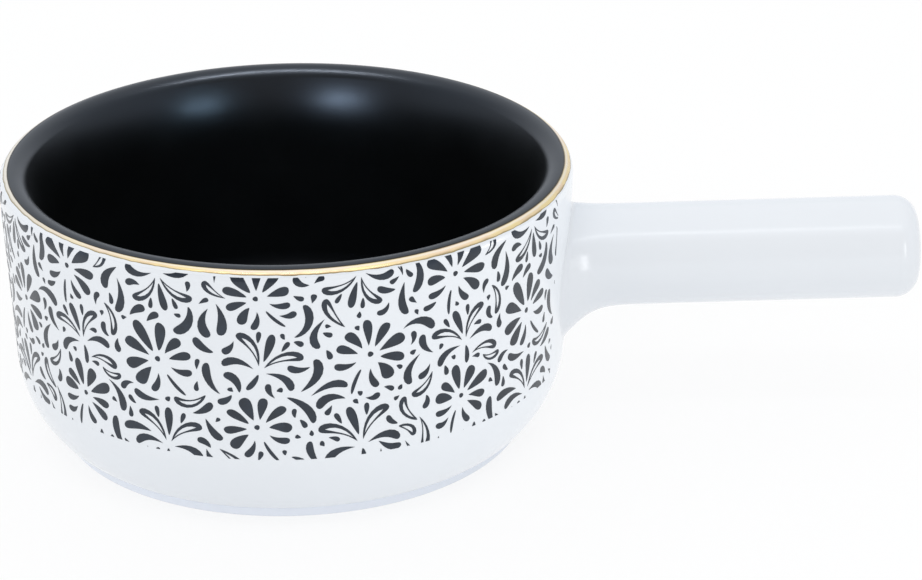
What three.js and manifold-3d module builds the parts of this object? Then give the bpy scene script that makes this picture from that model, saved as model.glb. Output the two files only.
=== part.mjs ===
// Ceramic fondue pot: a stoneware bowl on a flat foot, with one hollow side handle.
// Millimetres, +Z up. The origin is on the bowl's axis, on the flat face that the pot stands on.
// The handle points along +X.

import * as THREE from 'three';
import { mergeVertices } from 'three/addons/utils/BufferGeometryUtils.js';
import Module from 'manifold-3d';

// Bowl: the finished surfaces, coats included
const BOWL_RADIUS = 100; // outside, at the widest place just under the lip
const BOWL_HEIGHT = 97.7; // from the rest face to the top of the lip
const KNEE_RADIUS = 97.3; // outside, where the wall starts to turn in towards the foot
const KNEE_HEIGHT = 32;
const KNEE_ROUND = 38;
const WALL = 11.6; // wall at the knee
const FLOOR = 7.6; // floor above the foot
const FLOOR_ROUND = 14; // turn from the floor into the wall, inside
const LIP_OUTER_ROUND = 4.6;
const LIP_INNER_ROUND = 5.6;
const MOUTH_ROUND = 60; // wide round by which the inside opens towards the lip
const MOUTH_ANGLE = THREE.MathUtils.degToRad(21.6); // from upright, where that round meets the lip's

// Foot
const FOOT_RADIUS = 83;
const FOOT_HEIGHT = 4.4;
const FOOT_EDGE = 0.8; // small bevel round the rest face

// Coats, drawn thicker than the fired films are
const LINING = 0.5; // black glaze
const LINING_OVER_LIP = 1.4; // how far it runs over the lip, from the lip's top
const GOLD_WIDTH = 2.7;
const GOLD_TO_PRINT = 0.8; // bare white between the gold line and the print
const PRINT = 0.2;
const PRINT_BOTTOM = 28.8; // height of the print's lower edge
const PRINT_TO_HANDLE = 10.5; // bare white on each side of the handle's root
const COAT_GAP = 0.1; // between a coat and what it lies on or ends at

// Handle
const HANDLE_RADIUS = 18;
const HANDLE_LENGTH = 124.2; // from the wall to the end, along its axis
const HANDLE_WALL = 5;
const HANDLE_END_ROUND = 8;
const HANDLE_END_CROWN = 0.8; // how far the end face swells
const HOLLOW_END_ROUND = 4;
const HANDLE_DROP = 37.9; // from the top of the lip down to the axis, at the wall
const HANDLE_TILT = THREE.MathUtils.degToRad(1.42); // upwards, away from the bowl
const FLARE_UNDER = 10.1; // how far the root swells under the handle
const FLARE_OVER = 0.5; // and on top of it
const FLARE_REACH = 7.2; // how fast the swelling dies away along the handle
const FLARE_POWER = 1.5;
const VENT_RADIUS = 1.6; // hole under the handle that lets steam out of the hollow
const VENT_FROM_WALL = 30;

// Luting
const LUTING = 1.2; // slip between the wall and the handle's root
const LUTING_GAP = 0.3; // on each side of the slip

// Faceting
const BOWL_SEGMENTS = 60;
const HANDLE_SEGMENTS = 32;
const VENT_SEGMENTS = 12;
const ARC_STEP = THREE.MathUtils.degToRad(15); // the most that one chord of a profile's arc turns
const ROOT_STEPS = 10;

const wasm = await Module();
wasm.setup();

const QUARTER = Math.PI / 2;

// Places that follow from the sizes
const floorTop = FOOT_HEIGHT + FLOOR;
const lipCentre = new THREE.Vector2(BOWL_RADIUS - LIP_OUTER_ROUND, BOWL_HEIGHT - LIP_OUTER_ROUND);
const lipInnerCentre = new THREE.Vector2(lipCentre.x, BOWL_HEIGHT - LIP_INNER_ROUND);
const mouthStart = Math.PI - MOUTH_ANGLE;
const mouthCentre = new THREE.Vector2(
  lipInnerCentre.x + (LIP_INNER_ROUND - MOUTH_ROUND) * Math.cos(mouthStart),
  lipInnerCentre.y + (LIP_INNER_ROUND - MOUTH_ROUND) * Math.sin(mouthStart),
);
const kneeCentre = new THREE.Vector2(KNEE_RADIUS - KNEE_ROUND, KNEE_HEIGHT);
const floorTurnCentre = new THREE.Vector2(KNEE_RADIUS - WALL - FLOOR_ROUND, floorTop + FLOOR_ROUND);
const liningEnd = QUARTER - LINING_OVER_LIP / LIP_OUTER_ROUND;
const goldEnd = liningEnd - GOLD_WIDTH / LIP_OUTER_ROUND;
const printEnd = goldEnd - GOLD_TO_PRINT / LIP_OUTER_ROUND;
const endGap = COAT_GAP / LIP_OUTER_ROUND;
const handleHeight = BOWL_HEIGHT - HANDLE_DROP;
const handleStart = wallRadius(handleHeight);

// Outside radius of the straight wall at a height
function wallRadius(height) {
  const share = (height - KNEE_HEIGHT) / (lipCentre.y - KNEE_HEIGHT);
  return THREE.MathUtils.lerp(KNEE_RADIUS, BOWL_RADIUS, share);
}

// Points on an arc of a profile, from one angle to another
function arc(centre, radius, from, to) {
  const steps = Math.max(2, Math.ceil(Math.abs(to - from) / ARC_STEP));
  return Array.from({ length: steps + 1 }, (_, i) => {
    const angle = THREE.MathUtils.lerp(from, to, i / steps);
    return new THREE.Vector2(centre.x + radius * Math.cos(angle), centre.y + radius * Math.sin(angle));
  });
}

// The bowl's outside, lifted off the finished surface by rise: knee, wall and lip up to an angle
function outsidePath(rise, lowest, lipAngle) {
  const start = Math.asin((lowest - KNEE_HEIGHT) / KNEE_ROUND);
  const low = lowest < KNEE_HEIGHT
    ? arc(kneeCentre, KNEE_ROUND + rise, start, 0)
    : [new THREE.Vector2(wallRadius(lowest) + rise, lowest)];
  return [...low, ...arc(lipCentre, LIP_OUTER_ROUND + rise, 0, lipAngle)];
}

// The bowl's inside, sunk under the finished surface by depth: lip from an angle, mouth, wall and floor
function insidePath(depth, lipAngle) {
  return [
    ...arc(lipCentre, LIP_OUTER_ROUND - depth, lipAngle, QUARTER),
    ...arc(lipInnerCentre, LIP_INNER_ROUND - depth, QUARTER, mouthStart).slice(1),
    ...arc(mouthCentre, MOUTH_ROUND - depth, mouthStart, Math.PI).slice(1),
    ...arc(floorTurnCentre, FLOOR_ROUND + depth, 0, -QUARTER),
    new THREE.Vector2(0, floorTop - depth),
  ];
}

// A solid of revolution about the bowl's axis
function turned(profile) {
  return new THREE.LatheGeometry(profile, BOWL_SEGMENTS).rotateX(QUARTER);
}

// A ring that closes on itself
function turnedRing(profile) {
  return turned([...profile, profile[0]]);
}

// Closed geometry as a solid that can be joined and cut
function toSolid(geometry) {
  const bare = geometry.clone();
  bare.deleteAttribute('normal');
  bare.deleteAttribute('uv');
  const merged = mergeVertices(bare);
  const index = merged.index.array;
  const corners = [];
  for (let i = 0; i < index.length; i += 3) {
    const [a, b, c] = index.slice(i, i + 3);
    if (a !== b && b !== c && c !== a) corners.push(a, b, c);
  }
  return new wasm.Manifold(new wasm.Mesh({
    numProp: 3,
    vertProperties: new Float32Array(merged.attributes.position.array),
    triVerts: new Uint32Array(corners),
  }));
}

// A cut solid back as geometry
function toGeometry(solid) {
  const mesh = solid.getMesh();
  const geometry = new THREE.BufferGeometry();
  geometry.setAttribute('position', new THREE.BufferAttribute(mesh.vertProperties, mesh.numProp));
  geometry.setIndex(new THREE.BufferAttribute(mesh.triVerts, 1));
  geometry.computeVertexNormals();
  return geometry;
}

// Everything inside the bowl's outside surface lifted by rise, used to fit the handle to the wall
function bowlBlank(rise) {
  return toSolid(turned([
    new THREE.Vector2(0, FOOT_HEIGHT),
    ...outsidePath(rise, FOOT_HEIGHT, QUARTER),
    new THREE.Vector2(0, BOWL_HEIGHT + rise),
  ]));
}

function bowlBody() {
  return turned([
    new THREE.Vector2(0, FOOT_HEIGHT),
    ...outsidePath(0, FOOT_HEIGHT, goldEnd),
    ...insidePath(LINING + COAT_GAP, goldEnd),
  ]);
}

function foot() {
  return turned([
    new THREE.Vector2(0, 0),
    new THREE.Vector2(FOOT_RADIUS - FOOT_EDGE, 0),
    new THREE.Vector2(FOOT_RADIUS, FOOT_EDGE),
    new THREE.Vector2(FOOT_RADIUS, FOOT_HEIGHT),
    new THREE.Vector2(0, FOOT_HEIGHT),
  ]);
}

function blackLining() {
  return turned([
    ...insidePath(LINING, liningEnd).reverse(),
    ...insidePath(0, liningEnd),
  ]);
}

function goldLine() {
  return turnedRing([
    ...arc(lipCentre, LIP_OUTER_ROUND, goldEnd + endGap, liningEnd - endGap),
    ...arc(lipCentre, LIP_OUTER_ROUND - LINING, liningEnd - endGap, goldEnd + endGap),
  ]);
}

// The print stops at a straight upright edge on each side of the handle
function printedBand() {
  const sleeve = turnedRing([
    ...outsidePath(COAT_GAP + PRINT, PRINT_BOTTOM, printEnd),
    ...outsidePath(COAT_GAP, PRINT_BOTTOM, printEnd).reverse(),
  ]);
  const halfWidth = HANDLE_RADIUS + (FLARE_UNDER + FLARE_OVER) / 2 + PRINT_TO_HANDLE;
  const reach = 2 * BOWL_RADIUS;
  const spread = reach * Math.tan(Math.asin(halfWidth / handleStart));
  const wedge = new THREE.Shape([
    new THREE.Vector2(0, 0),
    new THREE.Vector2(reach, -spread),
    new THREE.Vector2(reach, spread),
  ]);
  const cut = new THREE.ExtrudeGeometry(wedge, { depth: BOWL_HEIGHT, bevelEnabled: false });
  return toGeometry(toSolid(sleeve).subtract(toSolid(cut)));
}

// One skin of the handle along its own axis, from the root to the middle of its rounded end
function handleSkin(inset, endRound, rootStations) {
  const radius = HANDLE_RADIUS - inset;
  const end = HANDLE_LENGTH - inset;
  const corner = new THREE.Vector2(radius - endRound, end - HANDLE_END_CROWN - endRound);
  return [
    ...rootStations.map((station) => new THREE.Vector2(radius, station)),
    ...arc(corner, endRound, 0, QUARTER),
    new THREE.Vector2(0, end),
  ];
}

// How far the root swells at a place on the handle: most below, least on top, dying away from the wall
function rootSwell(fromWall, upwards) {
  const middle = (FLARE_UNDER + FLARE_OVER) / 2;
  const lean = (FLARE_UNDER - FLARE_OVER) / 2;
  return (middle - lean * upwards) * Math.exp(-((Math.max(fromWall, 0) / FLARE_REACH) ** FLARE_POWER));
}

// The hollow handle before its root is fitted to the wall
function handleBlank() {
  const buried = HANDLE_RADIUS + FLARE_UNDER;
  const rootEnd = 3 * FLARE_REACH;
  const near = Array.from({ length: ROOT_STEPS + 1 }, (_, i) => (rootEnd * i) / ROOT_STEPS);
  const stations = [-buried, -buried / 2, ...near];
  const inner = handleSkin(HANDLE_WALL, HOLLOW_END_ROUND, stations);
  const outer = handleSkin(0, HANDLE_END_ROUND, stations);
  const profile = [...inner.reverse(), ...outer];
  const geometry = new THREE.LatheGeometry(profile, HANDLE_SEGMENTS).rotateZ(-QUARTER);
  const place = geometry.attributes.position;
  for (let i = 0; i < place.count; i += 1) {
    const [x, y, z] = [place.getX(i), place.getY(i), place.getZ(i)];
    const radius = Math.hypot(y, z);
    if (radius > 0) {
      const wallBack = handleStart - Math.sqrt(handleStart ** 2 - y ** 2);
      const factor = 1 + rootSwell(x + wallBack, z / radius) / radius;
      place.setXYZ(i, x, y * factor, z * factor);
    }
  }
  const drill = new THREE.CylinderGeometry(VENT_RADIUS, VENT_RADIUS, 2 * HANDLE_RADIUS, VENT_SEGMENTS);
  drill.rotateX(QUARTER).translate(VENT_FROM_WALL, 0, -HANDLE_RADIUS);
  const vented = toGeometry(toSolid(geometry).subtract(toSolid(drill)));
  return toSolid(vented.rotateY(-HANDLE_TILT).translate(handleStart, 0, handleHeight));
}

function handle() {
  return toGeometry(handleBlank().subtract(bowlBlank(LUTING + 2 * LUTING_GAP)));
}

function lutingSeam() {
  const layer = bowlBlank(LUTING + LUTING_GAP).subtract(bowlBlank(LUTING_GAP));
  return toGeometry(handleBlank().intersect(layer));
}

// Finishes
const whiteGlaze = { color: 0xe9ecf0, roughness: 0.25, metalness: 0 };
const blackGlaze = { color: 0x0b0c0e, roughness: 0.45, metalness: 0 };
const goldLustre = { color: 0xd8b679, roughness: 0.25, metalness: 1 };
const transferInk = { color: 0x353d49, roughness: 0.35, metalness: 0 };
const bareClay = { color: 0xd9d3c8, roughness: 0.85, metalness: 0 };

const pieces = [
  ['bowl_body', bowlBody, whiteGlaze],
  ['foot', foot, bareClay],
  ['handle', handle, whiteGlaze],
  ['luting_seam', lutingSeam, bareClay],
  ['black_lining', blackLining, blackGlaze],
  ['gold_line', goldLine, goldLustre],
  ['printed_band', printedBand, transferInk],
];

const pot = new THREE.Group();
for (const [name, make, finish] of pieces) {
  const mesh = new THREE.Mesh(make(), new THREE.MeshStandardMaterial(finish));
  mesh.name = name;
  pot.add(mesh);
}

export default pot;
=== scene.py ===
"""Looks of a ceramic fondue pot: a white stoneware bowl with a satin black inside, a gold line
at the lip, a printed band of flowers and leaves, and one straight hollow handle.

Metres, +Z up, in the same frame as the solids. The bowl's axis is Z and the handle points along +X.
"""

import math
import random

import bmesh
import bpy
import numpy as np
from bpy.props import FloatProperty, FloatVectorProperty, IntProperty, PointerProperty
from mathutils import Matrix, Vector


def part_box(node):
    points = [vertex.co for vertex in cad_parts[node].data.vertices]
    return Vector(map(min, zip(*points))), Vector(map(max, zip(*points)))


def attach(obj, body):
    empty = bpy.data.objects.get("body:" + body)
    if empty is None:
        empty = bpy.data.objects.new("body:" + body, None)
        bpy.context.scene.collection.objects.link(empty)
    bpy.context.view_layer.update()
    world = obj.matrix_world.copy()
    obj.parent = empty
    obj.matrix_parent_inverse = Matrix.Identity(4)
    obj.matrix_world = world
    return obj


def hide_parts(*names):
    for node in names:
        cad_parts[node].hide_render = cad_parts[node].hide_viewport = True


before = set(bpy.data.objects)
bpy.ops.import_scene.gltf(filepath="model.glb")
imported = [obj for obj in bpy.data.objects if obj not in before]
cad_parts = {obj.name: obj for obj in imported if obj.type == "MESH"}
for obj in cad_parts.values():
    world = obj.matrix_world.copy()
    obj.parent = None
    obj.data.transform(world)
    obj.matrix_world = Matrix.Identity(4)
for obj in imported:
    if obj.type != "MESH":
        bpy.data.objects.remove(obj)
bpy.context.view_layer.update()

bl_info = {
    "name": "Fondue pot",
    "version": (1, 0, 0),
    "blender": (4, 5, 0),
    "location": "View3D > Sidebar > Fondue pot",
    "description": "Models and finishes a stoneware fondue pot with a printed band",
    "category": "Add Mesh",
}

MM = 0.001
QUARTER = math.pi / 2
FULL_TURN = 2 * math.pi

# How fine the round shapes are, what shows as an edge, and what counts as one place
BOWL_STEPS = 192
HANDLE_STEPS = 128
BEVEL_STEPS = 4
ARC_STEP = math.radians(4)
CREASE = math.radians(35)
SAME_POINT = 0.001 * MM
SAME_RING = 0.01 * MM

# Brushed edges: how much narrower the gold gets away from the handle, how far its lower edge wavers,
# and how much higher the gold's lower edge and the black's edge lie at the sides
GOLD_BARE = 1.1 * MM
GOLD_SWAY = 0.25 * MM
GOLD_LIFT = 0.3 * MM
LIP_LIFT = 0.19 * MM

# Where they start to rise and where they are highest, beside the handle and opposite, in radii along X
LIP_SIDES = ((0.05, 0.75), (-0.8, -1.0))

# Share of the foot's bevel that is ground bare
GROUND_SHARE = 0.125

# Coats and buried depths
COAT_GAP = 0.1 * MM
FILM = 0.12 * MM
FILM_RISE = 0.06 * MM
ROOT_BURIED = 1.2 * MM

# Corners of the solids that the looks are built around
BOWL_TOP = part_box("black_lining")[1]
BOWL_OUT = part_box("bowl_body")[1]
FOOT_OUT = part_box("foot")[1]


def linear(colour):
    """An sRGB hex colour as linear red, green and blue."""
    parts = [int(colour[i:i + 2], 16) / 255 for i in (1, 3, 5)]
    return tuple(c / 12.92 if c <= 0.04045 else ((c + 0.055) / 1.055) ** 2.4 for c in parts)


def size(name, description, default):
    """A length that a user can change."""
    return FloatProperty(name=name, description=description, default=default, unit="LENGTH", precision=4)


def tint(name, description, default):
    """A colour that a user can change."""
    return FloatVectorProperty(
        name=name, description=description, default=linear(default), subtype="COLOR", min=0, max=1)


class PotSizes(bpy.types.PropertyGroup):
    """Sizes of the pot's finished surfaces."""

    bowl_radius: size("Bowl radius", "Outside, at the widest place under the lip", BOWL_OUT.y)
    bowl_height: size("Bowl height", "From the rest face to the top of the lip", BOWL_TOP.z)
    knee_radius: size("Knee radius", "Outside, where the wall starts to turn in", 97.3 * MM)
    knee_height: size("Knee height", "Height of that place", 32 * MM)
    knee_round: size("Knee round", "Radius of the turn from the wall to the foot", 38 * MM)
    wall: size("Wall", "Thickness of the wall at the knee", 11.6 * MM)
    floor: size("Floor", "Thickness of the floor above the foot", 7.6 * MM)
    floor_round: size("Floor round", "Turn from the floor into the wall, inside", 14 * MM)
    lip_outer: size("Lip outer round", "Round on the outside of the lip", 4.6 * MM)
    lip_inner: size("Lip inner round", "Round on the inside of the lip", 5.6 * MM)
    mouth_round: size("Mouth round", "Wide round by which the inside opens towards the lip", 60 * MM)
    foot_radius: size("Foot radius", "Radius of the low foot", FOOT_OUT.y)
    foot_height: size("Foot height", "Height of the low foot", FOOT_OUT.z)
    foot_edge: size("Foot edge", "Bevel round the rest face", 0.8 * MM)
    foot_fillet: size("Foot fillet", "Glaze pooled between foot and bowl", 1.1 * MM)
    belly_edge: size("Belly edge", "Round where the bowl's curve ends above the foot", 0.9 * MM)
    coat: size("Coat", "Thickness that stands for a fired coat", 0.5 * MM)
    lining_over_lip: size("Lining over lip", "How far the black runs over the lip", 1.8 * MM)
    gold_width: size("Gold width", "Width of the gold line", 3.0 * MM)
    gold_to_print: size("Gold to print", "Bare white between gold line and print", 0.1 * MM)
    print_bottom: size("Print bottom", "Height of the print's lower edge", 28.8 * MM)
    print_to_handle: size("Print to handle", "Bare white beside the handle's root", 10.5 * MM)
    handle_radius: size("Handle radius", "Radius of the straight handle", 18 * MM)
    handle_length: size("Handle length", "From the wall to the end, along its axis", 124.2 * MM)
    handle_wall: size("Handle wall", "Wall of the hollow handle", 5 * MM)
    handle_end: size("Handle end round", "Round at the end of the handle", 8 * MM)
    handle_crown: size("Handle crown", "Radius of the swelling end face", 62 * MM)
    handle_drop: size("Handle drop", "From the lip's top down to the axis at the wall", 37.9 * MM)
    flare_under: size("Flare under", "How far the root swells under the handle", 10.1 * MM)
    flare_over: size("Flare over", "How far the root swells on top", 0.5 * MM)
    flare_reach: size("Flare reach", "How fast the swelling dies away", 7.2 * MM)
    luting: size("Luting fillet", "Fillet of slip round the handle's root", 2.0 * MM)
    vent_radius: size("Vent radius", "Steam hole under the handle", 1.6 * MM)
    vent_place: size("Vent place", "From the wall to the steam hole", 30 * MM)
    mouth_angle: FloatProperty(
        name="Mouth angle", description="From upright, where the mouth's round meets the lip's",
        default=math.radians(21.6), subtype="ANGLE")
    handle_tilt: FloatProperty(
        name="Handle tilt", description="Upwards, away from the bowl",
        default=math.radians(1.42), subtype="ANGLE")


class PotColours(bpy.types.PropertyGroup):
    """Colours of the pot's finishes."""

    white: tint("White glaze", "Stoneware glaze of bowl and handle", "#E6EAEF")
    # Painted light: the foot's glaze is lighter and bluer than the bowl's, standing in for light that the
    # belly keeps off it
    foot_lightened_white: tint("Foot glaze painted lighter", "White glaze painted lighter and bluer on the foot, where the belly shades it", "#EEF3FC")
    black: tint("Black glaze", "Satin glaze of the inside", "#060707")
    black_sheen: tint("Black's sheen", "Cool tinge of what the black glaze reflects", "#DCE8FA")
    gold: tint("Gold lustre", "Fired gold of the line at the lip", "#F0D89E")
    gold_warm: tint("Warm gold", "Patches where the lustre is thicker", "#EDD0AC")
    # Also the colour of the painted highlight in the upper part of the gold line
    gold_pale_and_highlight: tint("Pale gold", "Paler gold away from the handle, also the painted highlight in the upper part of the line", "#F5EBDA")
    # Painted dark reflection along the gold's lower edge
    gold_dark_reflection: tint("Gold's lower edge", "Painted dark reflection along the line's lower edge, on the white", "#93804F")
    gold_edge: tint("Gold's upper edge", "Edge of the line, on the black", "#3A3428")
    ink: tint("Transfer ink", "Fired ink of the printed band", "#1F2935")
    clay: tint("Bare clay", "Ground, unglazed face of the foot", "#D9D3C8")
    floor: tint("Studio floor", "Paper that the pot stands on", "#FAFBFC")


class PotPrint(bpy.types.PropertyGroup):
    """How the printed band is drawn."""

    repeats: IntProperty(name="Repeats", description="Times the drawing repeats", default=4, min=1)
    seed: IntProperty(name="Seed", description="Start of the random fillers", default=11)


# Profile of the bowl

def from_centre(centre, angle, reach):
    """A place at an angle and a distance from a centre."""
    return centre[0] + reach * math.cos(angle), centre[1] + reach * math.sin(angle)


def arc(centre, radius, start, end):
    """Points along an arc of a profile."""
    steps = max(2, math.ceil(abs(end - start) / ARC_STEP))
    return [from_centre(centre, start + (end - start) * i / steps, radius) for i in range(steps + 1)]


def tangent(centre, radius, other, other_radius, near):
    """Angle at which one straight line touches two rounds; a hollow round has a negative radius."""
    across = Vector(other) - Vector(centre)
    facing = math.atan2(across.y, across.x)
    swing = math.acos((radius - other_radius) / across.length)
    turns = [math.remainder(facing + side * swing - near, FULL_TURN) for side in (-1, 1)]
    return near + min(turns, key=abs)


class BowlLines:
    """The bowl's profile: rounds joined by straight walls that run smoothly into them."""

    def __init__(self, sizes):
        s = self.sizes = sizes
        self.lip = (s.bowl_radius - s.lip_outer, s.bowl_height - s.lip_outer)
        self.lip_inner = (self.lip[0], s.bowl_height - s.lip_inner)
        self.mouth_start = math.pi - s.mouth_angle
        self.mouth = from_centre(self.lip_inner, self.mouth_start, s.lip_inner - s.mouth_round)
        self.knee = (s.knee_radius - s.knee_round, s.knee_height)
        self.floor_top = s.foot_height + s.floor
        self.turn = (s.knee_radius - s.wall - s.floor_round, self.floor_top + s.floor_round)
        self.lean = tangent(self.knee, s.knee_round, self.lip, s.lip_outer, 0)
        self.inner_lean = tangent(self.mouth, s.mouth_round, self.turn, -s.floor_round, math.pi)
        self.lining_end = QUARTER - s.lining_over_lip / s.lip_outer
        self.gold_end = self.lining_end - s.gold_width / s.lip_outer
        self.print_end = self.gold_end - s.gold_to_print / s.lip_outer
        self.handle_height = s.bowl_height - s.handle_drop
        self.handle_start = self.wall_radius(self.handle_height)
        side = s.handle_radius + (s.flare_under + s.flare_over) / 2 + s.print_to_handle
        self.print_side = math.asin(side / self.handle_start)

    def knee_angle(self, height):
        """Angle on the knee's round at a height."""
        return math.asin((height - self.knee[1]) / self.sizes.knee_round)

    def wall_radius(self, height):
        """Outside radius of the straight wall at a height."""
        foot = from_centre(self.knee, self.lean, self.sizes.knee_round)
        return foot[0] - (height - foot[1]) * math.tan(self.lean)

    def outside(self, lowest, lip_angle):
        """Outside of the bowl from a height up to an angle on the lip."""
        s = self.sizes
        return (arc(self.knee, s.knee_round, self.knee_angle(lowest), self.lean)
                + arc(self.lip, s.lip_outer, self.lean, lip_angle))

    def inside(self, depth, lip_angle):
        """Inside of the bowl, sunk by depth, from an angle on the lip to the middle of the floor."""
        s = self.sizes
        return (arc(self.lip, s.lip_outer - depth, lip_angle, QUARTER)
                + arc(self.lip_inner, s.lip_inner - depth, QUARTER, self.mouth_start)[1:]
                + arc(self.mouth, s.mouth_round - depth, self.mouth_start, self.inner_lean)[1:]
                + arc(self.turn, s.floor_round + depth, self.inner_lean - math.pi, -QUARTER)
                + [(0, self.floor_top - depth)])

    def print_runs(self):
        """Lengths of the print over the knee, the straight wall and the lip."""
        s = self.sizes
        low = from_centre(self.knee, self.lean, s.knee_round)
        high = from_centre(self.lip, self.lean, s.lip_outer)
        return (s.knee_round * (self.lean - self.knee_angle(s.print_bottom)),
                math.dist(low, high),
                s.lip_outer * (self.print_end - self.lean))

    def print_point(self, along, rise):
        """Radius and height of a place on the print, by its distance from the lower edge."""
        s = self.sizes
        knee, wall, _ = self.print_runs()
        if along < knee:
            angle = self.lean - (knee - along) / s.knee_round
            return from_centre(self.knee, angle, s.knee_round + rise)
        if along > knee + wall:
            angle = self.lean + (along - knee - wall) / s.lip_outer
            return from_centre(self.lip, angle, s.lip_outer + rise)
        low = from_centre(self.knee, self.lean, s.knee_round + rise)
        up = along - knee
        return (low[0] - up * math.sin(self.lean), low[1] + up * math.cos(self.lean))


# Modelling helpers

def turned(profile, axis, steps, closed=False):
    """Turns a profile of (distance from the axis, place along it) into a solid of revolution."""
    shape = bmesh.new()
    along = Vector(axis)
    out = Vector((1, 0, 0)) if along.z else Vector((0, 0, 1))
    points = [shape.verts.new(out * r + along * place) for r, place in profile]
    ends = points[1:] + points[:1] if closed else points[1:]
    lines = [shape.edges.new(pair) for pair in zip(points, ends)]
    bmesh.ops.spin(
        shape, geom=points + lines, cent=(0, 0, 0), axis=along, angle=FULL_TURN, steps=steps,
        use_merge=True)
    bmesh.ops.remove_doubles(shape, verts=shape.verts, dist=SAME_POINT)
    bmesh.ops.recalc_face_normals(shape, faces=shape.faces)
    return shape


def round_ring(shape, radius, height, offset):
    """Rounds the sharp ring of edges at a radius and a height."""
    def is_near(vertex):
        return abs(vertex.co.xy.length - radius) < SAME_RING and abs(vertex.co.z - height) < SAME_RING

    ring = [edge for edge in shape.edges if all(is_near(vertex) for vertex in edge.verts)]
    bmesh.ops.bevel(
        shape, geom=ring, offset=offset, offset_type="OFFSET", segments=BEVEL_STEPS, profile=0.5,
        affect="EDGES", material=-1)


def add_object(name, data):
    """Puts a new object into the scene."""
    made = bpy.data.objects.new(name, data)
    bpy.context.scene.collection.objects.link(made)
    return made


def add_mesh(name, shape, finishes):
    """Makes an object from a bmesh."""
    mesh = bpy.data.meshes.new(name)
    shape.to_mesh(mesh)
    shape.free()
    for finish in finishes:
        mesh.materials.append(finish)
    return add_object(name, mesh)


def add_piece(name, shape, finishes, stands_for):
    """Makes a piece of the pot; it stands for a node of the solids."""
    piece = add_mesh(name, shape, finishes)
    piece.data.shade_smooth()
    piece.data.set_sharp_from_angle(angle=CREASE)
    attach(piece, "root")
    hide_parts(stands_for)


def smooth_rise(value, start, end):
    """Goes smoothly from 0 at start to 1 at end."""
    share = min(1, max(0, (value - start) / (end - start)))
    return share * share * (3 - 2 * share)


def raise_edge(shape, lines, held):
    """Raises the edge between black and gold at the sides of the lip; held is the angle that stays."""
    lip_radius, lip_height = lines.lip
    for vertex in shape.verts:
        radius = vertex.co.xy.length
        out, up = radius - lip_radius, vertex.co.z - lip_height
        if out < 0 or up < 0:
            continue
        lift = LIP_LIFT * max(smooth_rise(vertex.co.x / radius, *side) for side in LIP_SIDES)
        raised = math.asin(math.sin(lines.lining_end) + lift / lines.sizes.lip_outer)
        angle = held + (math.atan2(up, out) - held) * (raised - held) / (lines.lining_end - held)
        reach = math.hypot(out, up)
        vertex.co.xy *= (lip_radius + reach * math.cos(angle)) / radius
        vertex.co.z = lip_height + reach * math.sin(angle)


# Materials

# What a noise texture mostly keeps between, and the narrower middle of it that parts it into patches
NOISE_LOW, NOISE_HIGH = 0.3, 0.7
PATCH_LOW, PATCH_HIGH = 0.42, 0.58

# Gold line, as shares of its width from below: where bare glaze turns to gold, where the painted dark
# reflection along the lower edge starts and where it ends (beside the handle, opposite, in thick patches),
# the painted highlight, the dark top
GOLD_START = (0.01, 0.06)
GOLD_DARK_REFLECTION_START = 0.07
GOLD_DARK_REFLECTION_NEAR, GOLD_DARK_REFLECTION_FAR, GOLD_DARK_REFLECTION_PATCH = 0.16, 0.5, 0.45
GOLD_HIGHLIGHT_LOW, GOLD_HIGHLIGHT, GOLD_HIGHLIGHT_HIGH = 0.5, 0.74, 0.9
GOLD_HIGHLIGHT_SHARE = 0.8
GOLD_DARK = (0.84, 0.93)

# Gold line, in radii along X: where it has its full width, where it starts to turn paler and where it is
# palest
GOLD_FULL = 0.5
GOLD_PALING, GOLD_PALEST = -0.4, -0.95


def per_metre(millimetres):
    """Texture scale for a feature of this size."""
    return 1 / (millimetres * MM)


def add_node(tree, kind, inputs=None, stops=(), **settings):
    """Adds a shader node. An input is a value, a socket to link from or a node whose first output in use
    is linked; stops are a ramp's places and colours."""
    made = tree.nodes.new("ShaderNode" + kind)
    for name, value in settings.items():
        setattr(made, name, value)
    for name, value in (inputs or {}).items():
        if isinstance(value, bpy.types.Node):
            value = next(output for output in value.outputs if output.enabled)
        if isinstance(value, bpy.types.NodeSocket):
            tree.links.new(value, made.inputs[name])
        else:
            made.inputs[name].default_value = value
    for i, (place, colour) in enumerate(stops):
        element = made.color_ramp.elements[i] if i < 2 else made.color_ramp.elements.new(place)
        element.position = place
        element.color = (*colour, 1)
    return made


def new_material(name):
    """An empty material, its node tree and the Object coordinates."""
    material = bpy.data.materials.new(name)
    material.use_nodes = True
    tree = material.node_tree
    tree.nodes.clear()
    return material, tree, add_node(tree, "TexCoord").outputs["Object"]


def shade(colour, factor):
    """A colour made darker or lighter."""
    return tuple(min(1, c * factor) for c in colour)


def white_glaze(white, name="white stoneware glaze"):
    """Dipped and fired stoneware glaze: clean cool white, soft gloss, faint orange peel."""
    material, tree, place = new_material(name)
    drift = add_node(tree, "TexNoise", {"Vector": place, "Scale": per_metre(38), "Detail": 2.0})
    tone = add_node(tree, "ValToRGB", {"Fac": drift}, stops=[
        (NOISE_LOW, shade(white, 0.99)), (NOISE_HIGH, white)])
    gloss = add_node(tree, "TexNoise", {"Vector": place, "Scale": per_metre(9), "Detail": 3.0})
    roughness = add_node(tree, "MapRange", {
        "Value": gloss, "From Min": NOISE_LOW, "From Max": NOISE_HIGH, "To Min": 0.15, "To Max": 0.19})
    peel = add_node(tree, "TexNoise", {"Vector": place, "Scale": per_metre(3.2), "Detail": 1.0})
    wave = add_node(tree, "Bump", {"Strength": 0.1, "Distance": 0.2 * MM, "Height": drift})
    skin = add_node(tree, "Bump", {"Strength": 0.1, "Distance": 0.02 * MM, "Height": peel, "Normal": wave})
    shader = add_node(tree, "BsdfPrincipled", {
        "Base Color": tone, "Roughness": roughness, "Normal": skin, "IOR": 1.5})
    add_node(tree, "OutputMaterial", {"Surface": shader})
    return material


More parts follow.
